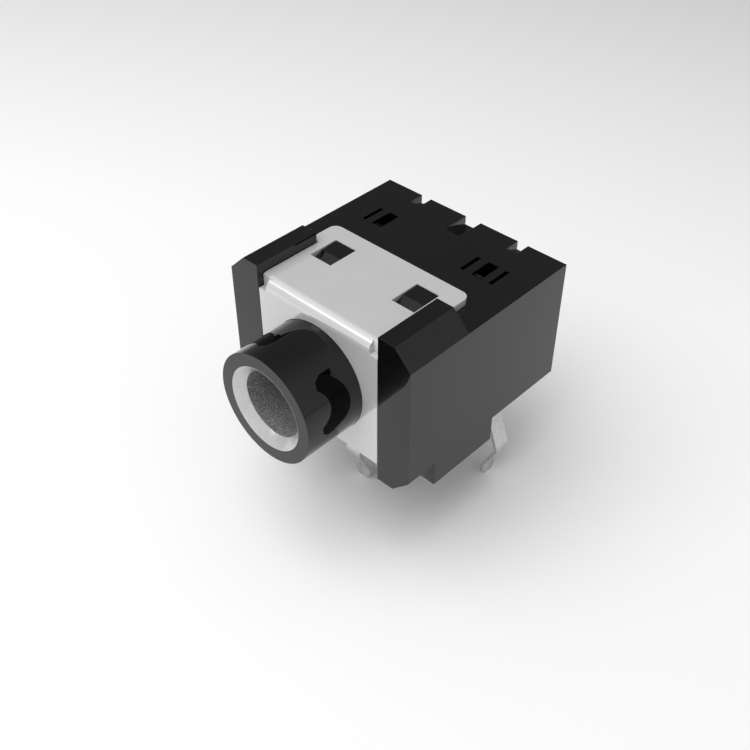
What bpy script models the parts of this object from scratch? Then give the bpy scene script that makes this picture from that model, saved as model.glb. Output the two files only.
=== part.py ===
"""Board-mount 3.5 mm audio jack socket.

The plug goes in along +Y through the nose, and +Z is up off the board.
Modelled with x = 0 at the middle of the width, y = 0 on the shield's front face and z = 0 on the board.
The finished part stands on its leg tips: its origin is at the bottom centre of its box.
"""

import math

import bmesh
import bpy
from mathutils import Matrix, Vector

MM = 0.001

# Nose, its lining and the plug's bore
PLUG_BORE = 3.6 * MM
BORE_RELIEF = 0.05 * MM
NOSE_DIAMETER = 6.0 * MM
NOSE_LENGTH = 3.5 * MM
BUSHING_WALL = 0.5 * MM
BUSHING_REACH = 0.8 * MM
BUSHING_LIP = 0.01 * MM
BUSHING_EDGE = 0.1 * MM

# Moulded housing, with z = 0 on the board
STANDOFF = 1.5 * MM
NOSE_RIM = 0.5 * MM
PLATE_RIM = 1.0 * MM
BODY_DEPTH = 11.6 * MM
REAR_WALL = 0.7 * MM
ROOF = 1.1 * MM
SIDE_WALL = 1.65 * MM
CHEEK_WIDTH = 2.0 * MM
CHEEK_DEPTH = 4.0 * MM
CHEEK_RISE = 1.0 * MM
CHEEK_DROP = 1.0 * MM
CHEEK_CHAMFER = 1.0 * MM
FOOT_START = 2.0 * MM
FOOT_LENGTH = 4.5 * MM
FOOT_THICKNESS = 1.0 * MM

# Folded shield
SHIELD_SHEET = 0.4 * MM
SHIELD_BEND = 0.2 * MM
SHIELD_REACH = 5.85 * MM
SHIELD_FLARE = 0.55 * MM
SHIELD_CORNER = 0.45 * MM
RELIEF_WIDTH = 0.53 * MM
RELIEF_DEPTH = 0.34 * MM
RELIEF_DROP = 0.7 * MM
RELIEF_RADIUS = 0.2 * MM

# Hooks on the housing and the shield windows that snap over them
HOOK_WIDTH = 1.3 * MM
HOOK_LENGTH = 1.7 * MM
HOOK_RAMP = 0.7 * MM
HOOK_RAMP_RISE = 0.36 * MM
HOOK_INSET = 1.25 * MM
WINDOW_LAND = 1.07 * MM

# Stamped contacts
CONTACT_SHEET = 0.2 * MM
STRIP_HEIGHT = 1.6 * MM
ROOT_START = 7.7 * MM
ROOT_LENGTH = 1.4 * MM
ROOT_RECESS = 0.7 * MM
HAIRPIN_RADIUS = 0.5 * MM
TIP_HAIRPIN = 4.9 * MM
TIP_BUMP = 7.1 * MM
TIP_RETURN = 8.3 * MM
RING_HAIRPIN = 3.1 * MM
RING_BUMP = 5.0 * MM
RING_RETURN = 6.9 * MM
BUMP_RADIUS = 0.4 * MM
BUMP_DEPTH = 0.45 * MM
FREE_END = 8.9 * MM
SWITCH_INSET = 1.8 * MM
SWITCH_FINGER = 0.5 * MM
SLEEVE_LEG = 3.6 * MM
SLEEVE_BUMP = 1.9 * MM
SLEEVE_ROOT_HEIGHT = 1.25 * MM
SLEEVE_SHOULDER = 0.35 * MM
SLEEVE_END = 1.55 * MM

# Kinked solder legs, with their bends measured out from the root and down from the board's top
LEG_WIDTH = 1.0 * MM
LEG_KINK_OUT = 1.35 * MM
LEG_KINK_DEPTH = 2.08 * MM
LEG_TAIL_OUT = 0.5 * MM
LEG_TAIL_DEPTH = 3.76 * MM
LEG_REACH = 4.5 * MM
LEG_TIP_WIDTH = 0.6 * MM
LEG_TIP_LENGTH = 0.4 * MM

# Openings in the housing's top
WINDOW_INSET = 0.875 * MM
WINDOW_WIDTH = 0.65 * MM
WINDOW_LEDGE = 0.45 * MM
WINDOW_LEDGE_DROP = 0.2 * MM
NOTCH_FLOOR = 0.5 * MM
SIDE_NOTCH_INSET = 0.97 * MM
SIDE_NOTCH_WIDTH = 0.65 * MM
SIDE_NOTCH_DEPTH = 0.93 * MM
MIDDLE_NOTCH_WIDTH = 1.0 * MM
MIDDLE_NOTCH_DEPTH = 1.72 * MM

# Clearances between pieces
SEAT_GAP = 0.02 * MM
SLOT_GAP = 0.015 * MM
CHEEK_GAP = 0.03 * MM
FLARE_GAP = 0.08 * MM
HOOK_GAP = 0.06 * MM
SPRING_ROOM = 0.25 * MM

ROUND_STEPS = 72
ARC_STEPS = 8
OVERSHOOT = 1.0 * MM
NEAR = 0.0005 * MM

# Places that follow from the sizes above
AXIS_HEIGHT = STANDOFF + NOSE_RIM + NOSE_DIAMETER / 2
BODY_TOP = AXIS_HEIGHT + NOSE_DIAMETER / 2 + NOSE_RIM
CHEEK_INNER = NOSE_DIAMETER / 2 + PLATE_RIM
BODY_HALF = CHEEK_INNER + CHEEK_WIDTH
BLOCK_FRONT = SHIELD_SHEET + SEAT_GAP
BUSHING_RADIUS = PLUG_BORE / 2 + BUSHING_WALL
BUSHING_MOUTH = BUSHING_WALL - BUSHING_LIP
CAVITY_TOP = BODY_TOP - ROOF
SHIELD_TOP = BODY_TOP + SEAT_GAP + SHIELD_SHEET
NECK_HALF = CHEEK_INNER - CHEEK_GAP
FLARE_HALF = NECK_HALF + SHIELD_FLARE
FLARE_START = CHEEK_DEPTH + FLARE_GAP
HOOK_REAR = SHIELD_REACH - WINDOW_LAND
HOOK_START = HOOK_REAR - HOOK_LENGTH
HOOK_OFFSET = CHEEK_INNER - HOOK_INSET
ROOT_FACE = BODY_HALF - SIDE_WALL
ROOT_OFFSET = ROOT_FACE - CONTACT_SHEET / 2
SWITCH_OFFSET = ROOT_OFFSET - SWITCH_INSET
WINDOW_OFFSET = ROOT_OFFSET - WINDOW_INSET
SIDE_NOTCH_OFFSET = ROOT_OFFSET - SIDE_NOTCH_INSET


def clear_scene():
    for obj in list(bpy.data.objects):
        bpy.data.objects.remove(obj, do_unlink=True)


def principled(name, colour, roughness, metallic):
    material = bpy.data.materials.new(name)
    material.use_nodes = True
    shader = material.node_tree.nodes["Principled BSDF"]
    shader.inputs["Base Color"].default_value = (*colour, 1.0)
    shader.inputs["Roughness"].default_value = roughness
    shader.inputs["Metallic"].default_value = metallic
    return material


def snap(value):
    """Rounded far below any clearance, so that faces meant to be flush are exactly flush."""
    return round(value, 8)


def object_from(bm, name):
    bmesh.ops.recalc_face_normals(bm, faces=bm.faces)
    mesh = bpy.data.meshes.new(name)
    bm.to_mesh(mesh)
    bm.free()
    obj = bpy.data.objects.new(name, mesh)
    bpy.context.scene.collection.objects.link(obj)
    return obj


def rounded_outline(corners):
    """Closed outline from (u, v, radius) corners. A radius of 0 keeps the corner sharp."""
    points = []
    for index, (u, v, radius) in enumerate(corners):
        here = Vector((u, v))
        if radius == 0:
            points.append(here)
            continue
        before = Vector(corners[index - 1][:2]) - here
        after = Vector(corners[(index + 1) % len(corners)][:2]) - here
        half_angle = before.angle(after) / 2
        middle = (before.normalized() + after.normalized()).normalized()
        centre = here + middle * (radius / math.sin(half_angle))
        start = here + before.normalized() * (radius / math.tan(half_angle)) - centre
        end = here + after.normalized() * (radius / math.tan(half_angle)) - centre
        sweep = start.angle_signed(end)
        for step in range(ARC_STEPS + 1):
            turn = Matrix.Rotation(-sweep * step / ARC_STEPS, 2)
            points.append(centre + turn @ start)
    return points


def strip_outline(path, thickness):
    """Outline of a bent strip, from its middle line as (u, v, bend radius) points."""
    line = bent_line(path)
    left, right = [], []
    for index, point in enumerate(line):
        ahead = line[min(index + 1, len(line) - 1)] - point
        behind = point - line[max(index - 1, 0)]
        ends = [side.normalized() for side in (behind, ahead) if side.length > 0]
        along = sum(ends, Vector((0, 0))).normalized()
        across = Vector((-along.y, along.x))
        reach = thickness / 2 / max(across.dot(Vector((-ends[0].y, ends[0].x))), 0.5)
        left.append(point + across * reach)
        right.append(point - across * reach)
    return left + right[::-1]


def bent_line(path):
    """Open line through (u, v, radius) points, with each inner corner rounded."""
    points = [Vector(path[0][:2])]
    for before, here, after in zip(path, path[1:], path[2:]):
        corner = Vector(here[:2])
        back = (Vector(before[:2]) - corner).normalized()
        on = (Vector(after[:2]) - corner).normalized()
        half_angle = back.angle(on) / 2
        centre = corner + (back + on).normalized() * (here[2] / math.sin(half_angle))
        start = corner + back * (here[2] / math.tan(half_angle)) - centre
        end = corner + on * (here[2] / math.tan(half_angle)) - centre
        sweep = start.angle_signed(end)
        for step in range(ARC_STEPS + 1):
            points.append(centre + Matrix.Rotation(-sweep * step / ARC_STEPS, 2) @ start)
    points.append(Vector(path[-1][:2]))
    apart = [(a - b).length > NEAR for a, b in zip(points[1:], points)]
    return points[:1] + [point for point, kept in zip(points[1:], apart) if kept]


def prism(name, outline, axis, low, high):
    """Outline extruded along one axis. Its points are (y, z) for X, (x, z) for Y and (x, y) for Z."""
    index = "XYZ".index(axis)
    bm = bmesh.new()
    ring = []
    for u, v in outline:
        corner = [snap(u), snap(v)]
        corner.insert(index, snap(low))
        ring.append(bm.verts.new(corner))
    grown = bmesh.ops.extrude_face_region(bm, geom=[bm.faces.new(ring)])
    for item in grown["geom"]:
        if isinstance(item, bmesh.types.BMVert):
            item.co[index] = snap(high)
    return object_from(bm, name)


def box(name, low, high):
    outline = [(low[0], low[1]), (high[0], low[1]), (high[0], high[1]), (low[0], high[1])]
    return prism(name, outline, "Z", low[2], high[2])


def turned(name, profile):
    """Closed (radius, y) profile turned about the plug's axis."""
    bm = bmesh.new()
    ring = [bm.verts.new((radius, y, AXIS_HEIGHT)) for radius, y in profile]
    edges = [bm.edges.new((a, b)) for a, b in zip(ring, ring[1:] + ring[:1])]
    bmesh.ops.spin(
        bm,
        geom=ring + edges,
        cent=(0, 0, AXIS_HEIGHT),
        axis=(0, 1, 0),
        angle=math.tau,
        steps=ROUND_STEPS,
        use_merge=True,
    )
    bmesh.ops.remove_doubles(bm, verts=bm.verts, dist=NEAR)
    return object_from(bm, name)


def rod(name, radius, low, high):
    """Solid rod on the plug's axis."""
    bm = bmesh.new()
    turn = Matrix.Rotation(math.radians(-90), 4, "X")
    middle = Matrix.Translation((0, (low + high) / 2, AXIS_HEIGHT))
    bmesh.ops.create_cone(
        bm,
        cap_ends=True,
        segments=ROUND_STEPS,
        radius1=radius,
        radius2=radius,
        depth=high - low,
        matrix=middle @ turn,
    )
    return object_from(bm, name)


def helper(obj):
    obj.hide_render = True
    obj.display_type = "WIRE"
    return obj


def combine(target, operation, others):
    for other in others:
        modifier = target.modifiers.new(f"{operation.lower()} {other.name}", "BOOLEAN")
        modifier.operation = operation
        modifier.solver = "EXACT"
        modifier.object = helper(other)


def finish(obj, material, smooth_angle=30):
    obj.data.materials.append(material)
    obj.data.shade_smooth()
    obj.data.set_sharp_from_angle(angle=math.radians(smooth_angle))


def cheek(side):
    """Front corner post, with its outer top and bottom edges chamfered."""
    inner, outer = side * CHEEK_INNER, side * BODY_HALF
    shoulder = outer - side * CHEEK_CHAMFER
    top, bottom = BODY_TOP + CHEEK_RISE, STANDOFF - CHEEK_DROP
    outline = [
        (inner, bottom),
        (shoulder, bottom),
        (outer, bottom + CHEEK_CHAMFER),
        (outer, top - CHEEK_CHAMFER),
        (shoulder, top),
        (inner, top),
    ]
    return prism(f"cheek {side}", outline, "Y", 0, CHEEK_DEPTH)


def foot(side):
    inner, outer = sorted((side * (BODY_HALF - FOOT_THICKNESS), side * BODY_HALF))
    low = (inner, FOOT_START, 0)
    return box(f"foot {side}", low, (outer, FOOT_START + FOOT_LENGTH, STANDOFF + OVERSHOOT))


def hook(side):
    """Snap hook: a ramp for the sheet to ride up, and a square rear face that holds it."""
    low, high = sorted((side * (HOOK_OFFSET - HOOK_WIDTH / 2), side * (HOOK_OFFSET + HOOK_WIDTH / 2)))
    outline = [
        (HOOK_START, BODY_TOP - OVERSHOOT),
        (HOOK_REAR, BODY_TOP - OVERSHOOT),
        (HOOK_REAR, SHIELD_TOP),
        (HOOK_START + HOOK_RAMP, BODY_TOP + HOOK_RAMP_RISE),
        (HOOK_START, BODY_TOP),
    ]
    return prism(f"hook {side}", outline, "X", low, high)


def top_slot(name, centre, width, ledge=0.0):
    """Opening through the roof over a contact, with an optional ledge left in its front end."""
    front, rear = ROOT_START - SLOT_GAP, ROOT_START + ROOT_LENGTH + SLOT_GAP
    floor = CAVITY_TOP - OVERSHOOT
    step = BODY_TOP - WINDOW_LEDGE_DROP
    top = BODY_TOP + OVERSHOOT
    outline = [(front + ledge, floor), (rear, floor), (rear, top), (front, top)]
    if ledge:
        outline += [(front, step), (front + ledge, step)]
    return prism(name, outline, "X", centre - width / 2, centre + width / 2)


def rear_notch(name, centre, width, depth):
    low = (centre - width / 2, BODY_DEPTH - depth, BODY_TOP - NOTCH_FLOOR)
    high = (centre + width / 2, BODY_DEPTH + OVERSHOOT, BODY_TOP + OVERSHOOT)
    return box(name, low, high)


def spring_cavity(name, side, front):
    """Room for a side spring, open to the bore and to the board."""
    inner = PLUG_BORE / 2 - BUMP_DEPTH - SPRING_ROOM
    low, high = sorted((side * inner, side * (ROOT_FACE + SLOT_GAP)))
    rear = ROOT_START + ROOT_LENGTH + SLOT_GAP
    return box(name, (low, front, -OVERSHOOT), (high, rear, CAVITY_TOP))


def sleeve_cavity():
    half = LEG_WIDTH / 2 + SPRING_ROOM
    rear = SLEEVE_LEG + CONTACT_SHEET + SLOT_GAP
    front = SLEEVE_END - SPRING_ROOM
    return box("sleeve cavity", (-half, front, -OVERSHOOT), (half, rear, AXIS_HEIGHT))


def sleeve_slot():
    """Grooves that hold the shoulders of the sleeve contact."""
    half = LEG_WIDTH / 2 + SLEEVE_SHOULDER + SLOT_GAP
    low = (-half, SLEEVE_LEG - SLOT_GAP, -OVERSHOOT)
    top = STANDOFF + SLEEVE_ROOT_HEIGHT + SLOT_GAP
    return box("sleeve slot", low, (half, SLEEVE_LEG + CONTACT_SHEET + SLOT_GAP, top))


def make_housing(material):
    outline = rounded_outline(
        [
            (BLOCK_FRONT, STANDOFF, 0),
            (BLOCK_FRONT, BODY_TOP, SHIELD_BEND),
            (BODY_DEPTH, BODY_TOP, 0),
            (BODY_DEPTH, STANDOFF, 0),
        ]
    )
    housing = prism("housing", outline, "X", -BODY_HALF, BODY_HALF)
    nose = rod("nose", NOSE_DIAMETER / 2, -NOSE_LENGTH, BLOCK_FRONT + OVERSHOOT)
    added = [nose]
    for side in (-1, 1):
        added += [cheek(side), foot(side), hook(side)]
    combine(housing, "UNION", added)

    bushing_seat = rod("bushing seat", BUSHING_RADIUS + SLOT_GAP, -NOSE_LENGTH - OVERSHOOT, BUSHING_REACH + SEAT_GAP)
    bore = rod("bore", PLUG_BORE / 2 + BORE_RELIEF, -NOSE_LENGTH, BODY_DEPTH - REAR_WALL)
    slot = CONTACT_SHEET + 2 * SLOT_GAP
    cut = [
        bushing_seat,
        bore,
        spring_cavity("tip cavity", 1, TIP_HAIRPIN - HAIRPIN_RADIUS - CONTACT_SHEET / 2 - SPRING_ROOM),
        spring_cavity("ring cavity", -1, RING_HAIRPIN - HAIRPIN_RADIUS - CONTACT_SHEET / 2 - SPRING_ROOM),
        sleeve_cavity(),
        sleeve_slot(),
        top_slot("ring root slot", -ROOT_OFFSET, slot),
        top_slot("tip root slot", ROOT_OFFSET, slot),
        top_slot("switch slot", SWITCH_OFFSET, slot),
        top_slot("ring window", -WINDOW_OFFSET, WINDOW_WIDTH, WINDOW_LEDGE),
        top_slot("tip window", WINDOW_OFFSET, WINDOW_WIDTH, WINDOW_LEDGE),
        rear_notch("left notch", -SIDE_NOTCH_OFFSET, SIDE_NOTCH_WIDTH, SIDE_NOTCH_DEPTH),
        rear_notch("right notch", SIDE_NOTCH_OFFSET, SIDE_NOTCH_WIDTH, SIDE_NOTCH_DEPTH),
        rear_notch("middle notch", 0, MIDDLE_NOTCH_WIDTH, MIDDLE_NOTCH_DEPTH),
    ]
    combine(housing, "DIFFERENCE", cut)
    finish(housing, material)


def make_bushing(material):
    inner, rear = PLUG_BORE / 2, BUSHING_REACH
    profile = [
        (inner + BUSHING_MOUTH, -NOSE_LENGTH),
        (BUSHING_RADIUS, -NOSE_LENGTH),
        (BUSHING_RADIUS, rear - BUSHING_EDGE),
        (BUSHING_RADIUS - BUSHING_EDGE, rear),
        (inner + BUSHING_EDGE, rear),
        (inner, rear - BUSHING_EDGE),
        (inner, -NOSE_LENGTH + BUSHING_MOUTH),
    ]
    finish(turned("bushing", profile), material)


def make_shield(material):
    outer_bend = SHIELD_BEND + SHIELD_SHEET
    outline = rounded_outline(
        [
            (0, STANDOFF, 0),
            (0, SHIELD_TOP, outer_bend),
            (SHIELD_REACH, SHIELD_TOP, 0),
            (SHIELD_REACH, SHIELD_TOP - SHIELD_SHEET, 0),
            (SHIELD_SHEET, SHIELD_TOP - SHIELD_SHEET, SHIELD_BEND),
            (SHIELD_SHEET, STANDOFF, 0),
        ]
    )
    shield = prism("shield", outline, "X", -BODY_HALF, BODY_HALF)

    plan = rounded_outline(
        [
            (-NECK_HALF, -OVERSHOOT, 0),
            (NECK_HALF, -OVERSHOOT, 0),
            (NECK_HALF, FLARE_START, 0),
            (FLARE_HALF, FLARE_START, 0),
            (FLARE_HALF, SHIELD_REACH, SHIELD_CORNER),
            (-FLARE_HALF, SHIELD_REACH, SHIELD_CORNER),
            (-FLARE_HALF, FLARE_START, 0),
            (-NECK_HALF, FLARE_START, 0),
        ]
    )
    combine(shield, "INTERSECT", [prism("shield plan", plan, "Z", 0, SHIELD_TOP + OVERSHOOT)])

    nose_hole = rod("nose hole", NOSE_DIAMETER / 2 + SLOT_GAP, -OVERSHOOT, BLOCK_FRONT + OVERSHOOT)
    cut = [nose_hole]
    for side in (-1, 1):
        cut += [relief(side), shield_window(side)]
    combine(shield, "DIFFERENCE", cut)
    finish(shield, material)


def relief(side):
    """Notch at one end of the bend, so that the sheet folds cleanly."""
    inner = side * (NECK_HALF - RELIEF_WIDTH)
    outer = side * (CHEEK_INNER + OVERSHOOT)
    bottom = SHIELD_TOP - RELIEF_DROP
    outline = rounded_outline(
        [
            (outer, bottom, 0),
            (outer, SHIELD_TOP + OVERSHOOT, 0),
            (inner, SHIELD_TOP + OVERSHOOT, 0),
            (inner, bottom, RELIEF_RADIUS),
        ]
    )
    return prism(f"relief {side}", outline, "Y", -OVERSHOOT, RELIEF_DEPTH)


def shield_window(side):
    half = HOOK_WIDTH / 2 + HOOK_GAP
    low = (side * HOOK_OFFSET - half, HOOK_START - HOOK_GAP, SHIELD_TOP - SHIELD_SHEET - SEAT_GAP)
    high = (side * HOOK_OFFSET + half, HOOK_REAR + HOOK_GAP, SHIELD_TOP + OVERSHOOT)
    return box(f"shield window {side}", low, high)


def leg_path(root, side, base):
    """Middle line of a leg from the root down, as (offset, height) points: out, back, then straight down."""
    out, tail = root + side * LEG_KINK_OUT, root + side * LEG_TAIL_OUT
    bend = 2 * CONTACT_SHEET
    return [
        (root, base, 0),
        (root, STANDOFF, bend),
        (out, -LEG_KINK_DEPTH, bend),
        (tail, -LEG_TAIL_DEPTH, bend),
        (tail, -LEG_REACH - OVERSHOOT, 0),
    ]


def leg_blank(name, centre, top, axis):
    """Face-on outline of a leg: parallel sides and a tapered tip, as a prism to intersect with."""
    half, tip = LEG_WIDTH / 2, LEG_TIP_WIDTH / 2
    taper = -LEG_REACH + LEG_TIP_LENGTH
    outline = [
        (centre - half, top),
        (centre - half, taper),
        (centre - tip, -LEG_REACH),
        (centre + tip, -LEG_REACH),
        (centre + half, taper),
        (centre + half, top),
    ]
    return prism(name, outline, axis, -BODY_DEPTH, BODY_DEPTH)


def side_leg(name, side, root, lean):
    """Kinked leg below a root plate that stands along Y. It starts at the plate's front edge."""
    path = leg_path(side * root, side * lean, STANDOFF + 2 * OVERSHOOT)
    low, high = ROOT_START - OVERSHOOT, ROOT_START + ROOT_LENGTH + OVERSHOOT
    strip = prism(name, strip_outline(path, CONTACT_SHEET), "Y", low, high)
    centre = ROOT_START + SLOT_GAP + LEG_WIDTH / 2
    combine(strip, "INTERSECT", [leg_blank(f"{name} blank", centre, STANDOFF + OVERSHOOT, "X")])
    return strip


def root_plate(name, side, root, outline):
    half = CONTACT_SHEET / 2
    return prism(name, outline, "X", side * root - half, side * root + half)


def root_outline(finger):
    """Side view of a root plate. Where a finger is asked for, the plate is cut back around the spring."""
    front, rear = ROOT_START + SLOT_GAP, ROOT_START + ROOT_LENGTH
    top = BODY_TOP - ROOT_RECESS
    if not finger:
        return [(front, STANDOFF), (rear, STANDOFF), (rear, top), (front, top)]
    low = AXIS_HEIGHT - STRIP_HEIGHT / 2 - SPRING_ROOM
    high = AXIS_HEIGHT + STRIP_HEIGHT / 2 + SPRING_ROOM
    return [
        (front, STANDOFF),
        (rear, STANDOFF),
        (rear, top),
        (front, top),
        (front, high),
        (rear - finger, high),
        (rear - finger, low),
        (front, low),
    ]


def side_spring(name, side, places, rest, material):
    """One stamping: root plate, kinked leg, and an arm that folds back on itself and bears on the plug.

    places holds how far in the hairpin, the bump and the straight free end start, and rest is the free end's offset.
    """
    hairpin, bump, end_start = places
    near = PLUG_BORE / 2 - BUMP_DEPTH + CONTACT_SHEET / 2
    back = ROOT_OFFSET - 2 * HAIRPIN_RADIUS
    path = [
        (side * ROOT_OFFSET, ROOT_START + ROOT_LENGTH / 2, 0),
        (side * ROOT_OFFSET, hairpin - HAIRPIN_RADIUS, HAIRPIN_RADIUS),
        (side * back, hairpin - HAIRPIN_RADIUS, HAIRPIN_RADIUS),
        (side * back, hairpin + HAIRPIN_RADIUS, HAIRPIN_RADIUS),
        (side * near, bump, BUMP_RADIUS),
        (side * rest, end_start, HAIRPIN_RADIUS),
        (side * rest, FREE_END, 0),
    ]
    low, high = AXIS_HEIGHT - STRIP_HEIGHT / 2, AXIS_HEIGHT + STRIP_HEIGHT / 2
    arm = prism(name, strip_outline(path, CONTACT_SHEET), "Z", low, high)
    plate = root_plate(f"{name} root", side, ROOT_OFFSET, root_outline(0))
    combine(arm, "UNION", [plate, side_leg(f"{name} leg", side, ROOT_OFFSET, 1)])
    finish(arm, material)


def make_tip_switch(material):
    """Fixed contact that the tip spring rests against while no plug is in."""
    plate = root_plate("tip_switch", 1, SWITCH_OFFSET, root_outline(SWITCH_FINGER))
    combine(plate, "UNION", [side_leg("switch leg", 1, SWITCH_OFFSET, -1)])
    finish(plate, material)


def make_sleeve_contact(material):
    """Strip under the bore: its leg drops at the front, and its arm presses up on the plug's sleeve."""
    root = SLEEVE_LEG + CONTACT_SHEET / 2
    base = STANDOFF + SLEEVE_ROOT_HEIGHT
    peak = AXIS_HEIGHT - PLUG_BORE / 2 + BUMP_DEPTH - CONTACT_SHEET / 2
    legs = leg_path(root, -1, base)
    arm = [
        (SLEEVE_END, peak - BUMP_RADIUS, 0),
        (SLEEVE_BUMP, peak, BUMP_RADIUS / 2),
        (SLEEVE_BUMP + 2 * BUMP_RADIUS, base, BUMP_RADIUS / 2),
    ]
    path = arm + [(root, base, CONTACT_SHEET)] + legs[1:]
    contact = prism("sleeve_contact", strip_outline(path, CONTACT_SHEET), "X", -LEG_WIDTH, LEG_WIDTH)
    combine(contact, "INTERSECT", [leg_blank("sleeve leg blank", 0, AXIS_HEIGHT, "Y")])
    shoulder = LEG_WIDTH / 2 + SLEEVE_SHOULDER
    low = (-shoulder, SLEEVE_LEG, STANDOFF + SEAT_GAP)
    high = (shoulder, SLEEVE_LEG + CONTACT_SHEET, base - 2 * CONTACT_SHEET)
    combine(contact, "UNION", [box("sleeve shoulders", low, high)])
    finish(contact, material)


def stand_on_leg_tips():
    """Moves everything from the modelling frame to the finished one."""
    middle = (BODY_DEPTH - NOSE_LENGTH) / 2
    for obj in bpy.data.objects:
        obj.location = (0, -middle, LEG_REACH)


def main():
    clear_scene()
    plastic = principled("black moulding", (0.012, 0.012, 0.013), 0.15, 0.0)
    sheet = principled("tinned sheet", (0.72, 0.72, 0.71), 0.28, 1.0)
    lining = principled("plated brass", (0.76, 0.75, 0.72), 0.25, 1.0)
    contact = principled("silvered contact", (0.66, 0.65, 0.62), 0.35, 1.0)
    make_housing(plastic)
    make_shield(sheet)
    make_bushing(lining)
    resting = SWITCH_OFFSET + CONTACT_SHEET + SLOT_GAP
    side_spring("tip_spring", 1, (TIP_HAIRPIN, TIP_BUMP, TIP_RETURN), resting, contact)
    side_spring("ring_spring", -1, (RING_HAIRPIN, RING_BUMP, RING_RETURN), WINDOW_OFFSET, contact)
    make_tip_switch(contact)
    make_sleeve_contact(contact)
    stand_on_leg_tips()


main()
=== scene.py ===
# Board-mount audio jack socket: finishes, floor, light and camera.
# Lengths are in metres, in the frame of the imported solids: +Y into the body, +Z up off the leg tips.
import math

import bmesh
import bpy
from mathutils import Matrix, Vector


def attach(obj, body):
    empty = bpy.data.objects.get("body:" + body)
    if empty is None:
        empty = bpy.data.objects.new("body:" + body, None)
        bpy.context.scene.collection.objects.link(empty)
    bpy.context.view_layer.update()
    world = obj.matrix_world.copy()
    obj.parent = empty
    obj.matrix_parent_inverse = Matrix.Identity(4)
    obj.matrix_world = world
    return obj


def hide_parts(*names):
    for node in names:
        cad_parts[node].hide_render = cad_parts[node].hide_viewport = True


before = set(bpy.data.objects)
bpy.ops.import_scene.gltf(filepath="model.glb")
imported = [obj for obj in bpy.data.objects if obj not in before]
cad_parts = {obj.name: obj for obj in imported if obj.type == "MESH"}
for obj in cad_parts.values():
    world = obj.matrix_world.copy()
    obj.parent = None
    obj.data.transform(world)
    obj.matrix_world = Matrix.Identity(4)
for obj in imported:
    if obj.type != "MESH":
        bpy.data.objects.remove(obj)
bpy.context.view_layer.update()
mm = 0.001
print("frame loaded:", ", ".join(sorted(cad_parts)))


# Node helpers

def newMaterial(name):
    material = bpy.data.materials.new(name)
    material.use_nodes = True
    return material, material.node_tree


def addNode(tree, kind, settings=None, **inputs):
    node = tree.nodes.new(kind)
    for key, value in (settings or {}).items():
        setattr(node, key, value)
    for key, value in inputs.items():
        node.inputs[key].default_value = value
    return node


def addNoise(tree, source, scale, detail=3.0, roughness=0.55):
    noise = addNode(tree, "ShaderNodeTexNoise", Scale=scale, Detail=detail, Roughness=roughness)
    tree.links.new(source, noise.inputs["Vector"])
    return noise.outputs["Fac"]


def remap(tree, source, low, high, fromLow=0.3, fromHigh=0.7):  # a noise stays mostly between these two
    ends = {"From Min": fromLow, "From Max": fromHigh, "To Min": low, "To Max": high}
    node = addNode(tree, "ShaderNodeMapRange", **ends)
    tree.links.new(source, node.inputs["Value"])
    return node.outputs["Result"]


# How far a place lies in one direction, spread over low to high
def towards(tree, source, direction, fromLow, fromHigh, low=0, high=1):
    dot = addNode(tree, "ShaderNodeVectorMath", {"operation": "DOT_PRODUCT"})
    dot.inputs[1].default_value = direction
    tree.links.new(source, dot.inputs[0])
    return remap(tree, dot.outputs["Value"], low, high, fromLow, fromHigh)


def blendColours(tree, factor, first, second):
    node = addNode(tree, "ShaderNodeMix", {"data_type": "RGBA"})
    for name, colour in (("A", first), ("B", second)):
        if isinstance(colour, tuple):
            node.inputs[name].default_value = (*colour, 1)
        else:
            tree.links.new(colour, node.inputs[name])
    tree.links.new(factor, node.inputs["Factor"])
    return node.outputs["Result"]


def addBump(tree, height, strength, distance, below=None):
    node = addNode(tree, "ShaderNodeBump", Strength=strength, Distance=distance)
    tree.links.new(height, node.inputs["Height"])
    if below is not None:
        tree.links.new(below, node.inputs["Normal"])
    return node.outputs["Normal"]


def objectPlace(tree, stretch=(1, 1, 1)):
    place = addNode(tree, "ShaderNodeTexCoord")
    mapping = addNode(tree, "ShaderNodeMapping")
    mapping.inputs["Scale"].default_value = stretch
    tree.links.new(place.outputs["Object"], mapping.inputs["Vector"])
    return mapping.outputs["Vector"]


def addObject(name, data):
    obj = bpy.data.objects.new(name, data)
    bpy.context.scene.collection.objects.link(obj)
    return obj


# Finishes

mouldingLook = {
    "deep": (0.0012, 0.0012, 0.0013),
    "pale": (0.0022, 0.0022, 0.0024),
    "ior": 1.46,
    "gloss": (0.018, 0.045),
    "cloudScale": 420.0,
    "grainScale": 30000.0,
    "grainBump": (0.01, 0.001 * mm),  # strength and depth
    "waveScale": 520.0,
    "waveBump": (0.02, 0.01 * mm),  # faint sink marks
}


def blackMoulding():
    material, tree = newMaterial("blackMoulding")
    shader = tree.nodes["Principled BSDF"]
    shader.inputs["IOR"].default_value = mouldingLook["ior"]
    place = objectPlace(tree)
    cloud = addNoise(tree, place, mouldingLook["cloudScale"], detail=4.0)
    grain = addNoise(tree, place, mouldingLook["grainScale"], detail=2.0)
    wave = addNoise(tree, place, mouldingLook["waveScale"], detail=1.0)
    colour = blendColours(tree, remap(tree, cloud, 0, 1), mouldingLook["deep"], mouldingLook["pale"])
    tree.links.new(colour, shader.inputs["Base Color"])
    tree.links.new(remap(tree, cloud, *mouldingLook["gloss"]), shader.inputs["Roughness"])
    normal = addBump(tree, wave, *mouldingLook["waveBump"])
    normal = addBump(tree, grain, *mouldingLook["grainBump"], normal)
    tree.links.new(normal, shader.inputs["Normal"])
    return material


plateDepth = 0.002 * mm  # how deep the grain and the specks of plated metal go


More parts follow.
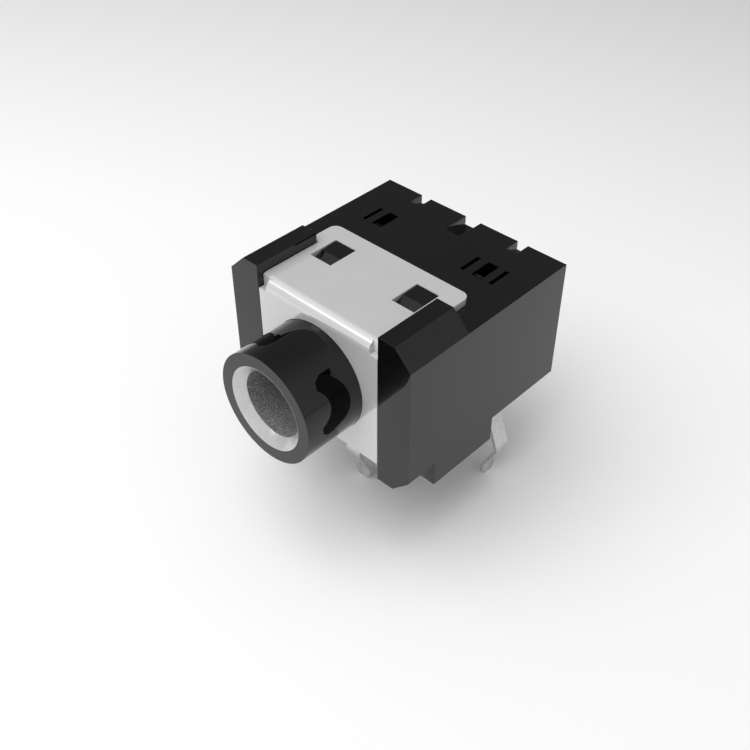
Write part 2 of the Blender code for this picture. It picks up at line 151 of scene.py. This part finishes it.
def platedMetal(name, look):  # mottled plate over a fine grain
    material, tree = newMaterial(name)
    shader = tree.nodes["Principled BSDF"]
    shader.inputs["Metallic"].default_value = look["metal"]
    cloud = addNoise(tree, objectPlace(tree), look["cloudScale"], detail=5.0)
    stretched = objectPlace(tree, look["stretch"])
    grain = addNoise(tree, stretched, look["grainScale"], detail=3.0, roughness=0.6)
    speck = addNoise(tree, objectPlace(tree), look["speckScale"], detail=1.0)
    dull = blendColours(tree, remap(tree, cloud, 0, 1), look["dull"], look["bright"])
    colour = blendColours(tree, remap(tree, speck, 0, look["speckShade"]), dull, look["dark"])
    tree.links.new(colour, shader.inputs["Base Color"])
    tree.links.new(remap(tree, grain, *look["gloss"]), shader.inputs["Roughness"])
    normal = addBump(tree, grain, look["grainBump"], plateDepth)
    normal = addBump(tree, speck, look["speckBump"], plateDepth, normal)
    tree.links.new(normal, shader.inputs["Normal"])
    return material


def boreShadeAndGrain(material, look):  # inside its mouth the lining is painted darker, as painted shade for the hollow of the bore, with a coarse grain and a rougher gloss
    tree = material.node_tree
    shader = tree.nodes["Principled BSDF"]
    place = objectPlace(tree)
    across = addNode(tree, "ShaderNodeVectorMath", {"operation": "MULTIPLY_ADD"})
    across.inputs[1].default_value = (1, 0, 1)  # the bore runs along Y
    across.inputs[2].default_value = (0, 0, -look["axisHeight"])
    tree.links.new(place, across.inputs[0])
    radius = addNode(tree, "ShaderNodeVectorMath", {"operation": "LENGTH"})
    tree.links.new(across.outputs["Vector"], radius.inputs[0])
    inside = remap(tree, radius.outputs["Value"], 0, 1, *look["edge"])
    grain = addNoise(tree, place, look["grainScale"], detail=2.0, roughness=0.7)
    # painted shade: the wall inside the bore mixes a near-black with a grey through the grain, so the
    # hollow reads darker than the mouth
    shadedWall = blendColours(tree, remap(tree, grain, 0, 1, *look["grainRange"]), look["dark"], look["pale"])
    mouthColour = shader.inputs["Base Color"].links[0].from_socket
    mouthGloss = shader.inputs["Roughness"].links[0].from_socket
    tree.links.new(blendColours(tree, inside, mouthColour, shadedWall), shader.inputs["Base Color"])
    gloss = addNode(tree, "ShaderNodeMix", {"data_type": "FLOAT"}, B=look["gloss"])
    tree.links.new(inside, gloss.inputs["Factor"])
    tree.links.new(mouthGloss, gloss.inputs["A"])
    tree.links.new(gloss.outputs["Result"], shader.inputs["Roughness"])


tinLook = {
    "metal": 0.33, "gloss": (0.05, 0.09),
    "dull": (0.665, 0.665, 0.662), "bright": (0.71, 0.71, 0.707), "dark": (0.50, 0.50, 0.50),
    "cloudScale": 300.0, "stretch": (1, 1, 1), "grainScale": 14000.0, "grainBump": 0.03,
    "speckScale": 26000.0, "speckBump": 0.04, "speckShade": 0.15,
}
liningLook = {
    "metal": 0.45, "gloss": (0.17, 0.27),
    "dull": (0.58, 0.58, 0.575), "bright": (0.64, 0.64, 0.635), "dark": (0.38, 0.38, 0.375),
    "cloudScale": 500.0, "stretch": (0.5, 1, 0.5), "grainScale": 14000.0, "grainBump": 0.12,
    "speckScale": 17000.0, "speckBump": 0.2, "speckShade": 0.5,
}
# painted shade for the hollow of the bore: its near-black and grey are mixed by grain, inward of the
# given radius
boreShadeLook = {
    "axisHeight": 9.5 * mm, "edge": (1.82 * mm, 1.80 * mm), "gloss": 0.34,
    "dark": (0.04, 0.04, 0.04), "pale": (0.66, 0.66, 0.655),
    "grainScale": 22000.0, "grainRange": (0.38, 0.62),
}
silverLook = {
    "metal": 0.6, "gloss": (0.18, 0.30),
    "dull": (0.60, 0.60, 0.595), "bright": (0.68, 0.68, 0.675), "dark": (0.34, 0.34, 0.335),
    "cloudScale": 800.0, "stretch": (1, 1, 0.3), "grainScale": 12000.0, "grainBump": 0.12,
    "speckScale": 24000.0, "speckBump": 0.15, "speckShade": 0.4,
}


# Pieces

meshCare = {
    "weld": 0.0005 * mm,  # corners nearer than this are one corner
    "sliver": 0.001 * mm,
    "flat": math.radians(0.3),  # triangles this near to one plane become one face
    "crease": math.radians(50),  # shading doesn't run round a sharper edge
    "areaWeight": 100,
}


def softened(nodeName, pieceName, edge):  # a merged copy of a solid, with its sharp edges broken
    bm = bmesh.new()
    bm.from_mesh(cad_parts[nodeName].data)
    bmesh.ops.remove_doubles(bm, verts=bm.verts, dist=meshCare["weld"])
    bmesh.ops.dissolve_degenerate(bm, edges=bm.edges, dist=meshCare["sliver"])
    bmesh.ops.dissolve_limit(
        bm, angle_limit=meshCare["flat"], verts=bm.verts, edges=bm.edges, delimit={"NORMAL"}
    )
    joined = [e for e in bm.edges if len(e.link_faces) == 2]
    sharp = [e for e in joined if e.calc_face_angle() > edge["angle"]]
    bmesh.ops.bevel(
        bm, geom=sharp, offset=edge["width"], offset_type="OFFSET", segments=edge["steps"],
        profile=0.5, affect="EDGES", material=-1, clamp_overlap=True,
    )
    mesh = bpy.data.meshes.new(pieceName)
    bm.to_mesh(mesh)
    bm.free()
    mesh.shade_smooth()
    mesh.set_sharp_from_angle(angle=meshCare["crease"])
    piece = addObject(pieceName, mesh)
    even = piece.modifiers.new("evenShading", "WEIGHTED_NORMAL")
    even.keep_sharp = True
    even.weight = meshCare["areaWeight"]
    return piece


def placePiece(piece, nodeName, material):
    piece.data.materials.clear()
    piece.data.materials.append(material)
    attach(piece, "root")
    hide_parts(nodeName)
    print("piece:", piece.name, len(piece.data.polygons), "faces")


mouldedEdge = {"width": 0.02 * mm, "steps": 2, "angle": math.radians(22)}
punchedEdge = {"width": 0.006 * mm, "steps": 2, "angle": math.radians(30)}
stampedEdge = {"width": 0.012 * mm, "steps": 2, "angle": math.radians(30)}
turnedEdge = {"width": 0.003 * mm, "steps": 2, "angle": math.radians(30)}

plastic = blackMoulding()
tin = platedMetal("tinPlate", tinLook)
lining = platedMetal("turnedLining", liningLook)
boreShadeAndGrain(lining, boreShadeLook)
silver = platedMetal("silverStrip", silverLook)
print("finishes made")

placePiece(softened("housing", "mouldedBody", mouldedEdge), "housing", plastic)
placePiece(softened("shield", "foldedShield", punchedEdge), "shield", tin)
placePiece(softened("bushing", "noseLining", turnedEdge), "bushing", lining)
for nodeName, pieceName in (
    ("tip_spring", "tipSpring"),
    ("ring_spring", "ringSpring"),
    ("tip_switch", "tipSwitch"),
    ("sleeve_contact", "sleeveContact"),
):
    placePiece(softened(nodeName, pieceName, stampedEdge), nodeName, silver)


# Floor, light and camera

floorLook = {
    "half": 0.6, "roughness": 0.9, "shine": 0.0,
    "paper": (0.965, 0.965, 0.965), "shade": (0.95, 0.95, 0.95), "cloudScale": 6.0,
    # painted shade: the paper turns grey along this direction and span, standing in for light falling
    # off with distance
    "away": (-0.403, 0.915, 0.0), "paintedFalloff": (0.020, 0.090), "far": (0.72, 0.72, 0.72),
}


def makeFloor():
    bm = bmesh.new()
    bmesh.ops.create_grid(bm, x_segments=1, y_segments=1, size=floorLook["half"])
    mesh = bpy.data.meshes.new("floor")
    bm.to_mesh(mesh)
    bm.free()
    floor = addObject("floor", mesh)
    material, tree = newMaterial("floorPaper")
    shader = tree.nodes["Principled BSDF"]
    place = objectPlace(tree)
    cloud = addNoise(tree, place, floorLook["cloudScale"], detail=2.0)
    paper = blendColours(tree, cloud, floorLook["paper"], floorLook["shade"])
    # painted shade: the paper is darker towards the back, in place of light falling off
    paintedFalloff = towards(tree, place, floorLook["away"], *floorLook["paintedFalloff"])
    tree.links.new(blendColours(tree, paintedFalloff, paper, floorLook["far"]), shader.inputs["Base Color"])
    shader.inputs["Roughness"].default_value = floorLook["roughness"]
    shader.inputs["Specular IOR Level"].default_value = floorLook["shine"]
    mesh.materials.append(material)


studioLook = {
    "soft": (0.21, 0.64),  # the dome's light from its weak side to its strong one
    "softSide": (-0.05, -0.53, 0.85),
    "darkEnd": (-0.62, 0.70, 0.36),
    "levels": (  # the room's greys, from the pale end to the dark one
        (0.0, 1.0), (0.28, 0.96), (0.40, 0.71), (0.585, 0.69),
        (0.725, 0.56), (0.85, 0.39), (0.97, 0.27), (1.0, 0.19),
    ),
    "glows": (  # where each soft panel hangs, where its edge begins and ends, and its strength
        ((-0.52, -0.213, 0.826), 0.80, 0.98, 0.42),
        ((-0.52, -0.53, 0.67), 0.984, 0.997, 1.8),
    ),
}


# A soft dome lights the part. The camera and the reflections see a pale room with one darker corner.
def makeWorld():
    world = bpy.data.worlds.new("studio")
    bpy.context.scene.world = world
    world.use_nodes = True
    tree = world.node_tree
    tree.nodes.clear()
    out = addNode(tree, "ShaderNodeOutputWorld")
    place = addNode(tree, "ShaderNodeTexCoord").outputs["Generated"]

    ramp = addNode(tree, "ShaderNodeValToRGB")
    stops = ramp.color_ramp.elements
    for index, (position, level) in enumerate(studioLook["levels"]):
        stop = stops[index] if index < 2 else stops.new(position)  # a new ramp has two of its own
        stop.position = position
        stop.color = (level, level, level, 1)
    tree.links.new(towards(tree, place, studioLook["darkEnd"], -1, 1), ramp.inputs["Fac"])
    level = ramp.outputs["Color"]
    for direction, low, high, strength in studioLook["glows"]:
        glow = addNode(tree, "ShaderNodeMath", {"operation": "MULTIPLY_ADD"})
        glow.inputs[1].default_value = strength
        tree.links.new(towards(tree, place, direction, low, high), glow.inputs[0])
        tree.links.new(level, glow.inputs[2])
        level = glow.outputs[0]
    room = addNode(tree, "ShaderNodeBackground", Strength=1.0)
    tree.links.new(level, room.inputs["Color"])
    soft = addNode(tree, "ShaderNodeBackground", Strength=1.0)
    dome = towards(tree, place, studioLook["softSide"], -1, 1, *studioLook["soft"])
    tree.links.new(dome, soft.inputs["Color"])
    rays = addNode(tree, "ShaderNodeLightPath")
    seen = rays.outputs["Is Camera Ray"]
    for kind in ("Is Glossy Ray", "Is Transmission Ray"):
        either = addNode(tree, "ShaderNodeMath", {"operation": "MAXIMUM"})
        tree.links.new(seen, either.inputs[0])
        tree.links.new(rays.outputs[kind], either.inputs[1])
        seen = either.outputs[0]
    mix = addNode(tree, "ShaderNodeMixShader")
    tree.links.new(seen, mix.inputs[0])
    tree.links.new(soft.outputs[0], mix.inputs[1])
    tree.links.new(room.outputs[0], mix.inputs[2])
    tree.links.new(mix.outputs[0], out.inputs["Surface"])


keyLook = {
    "aim": (0, 0, 0.007),
    "direction": (-0.13, -0.42, 0.90),
    "distance": 0.15,
    "size": 0.173,
    "power": 0.172,
}


def makeLamp(name, look):
    lamp = bpy.data.lights.new(name, "AREA")
    lamp.shape = "DISK"
    lamp.size = look["size"]
    lamp.energy = look["power"]
    obj = addObject(name, lamp)
    obj.visible_glossy = False  # the room itself shows in the reflections
    facing = Vector(look["direction"]).normalized()
    obj.location = Vector(look["aim"]) + facing * look["distance"]
    obj.rotation_mode = "QUATERNION"
    obj.rotation_quaternion = (-facing).to_track_quat("-Z", "Y")


cameraView = {
    "place": (28.44 * mm, -30.01 * mm, 42.71 * mm),
    "forward": (-0.5199, 0.5486, -0.6548),
    "lens": 49.86,
    "sensor": 36.0,
    "clip": (0.001, 10),
}


def makeCamera():
    data = bpy.data.cameras.new("photoCamera")
    data.lens = cameraView["lens"]
    data.sensor_width = cameraView["sensor"]
    data.clip_start, data.clip_end = cameraView["clip"]
    camera = addObject("photoCamera", data)
    camera.location = cameraView["place"]
    camera.rotation_mode = "QUATERNION"
    camera.rotation_quaternion = Vector(cameraView["forward"]).to_track_quat("-Z", "Y")
    bpy.context.scene.camera = camera


makeFloor()
makeWorld()
makeLamp("keySoftbox", keyLook)
makeCamera()
bpy.context.scene.view_settings.view_transform = "Standard"
print("stage set")
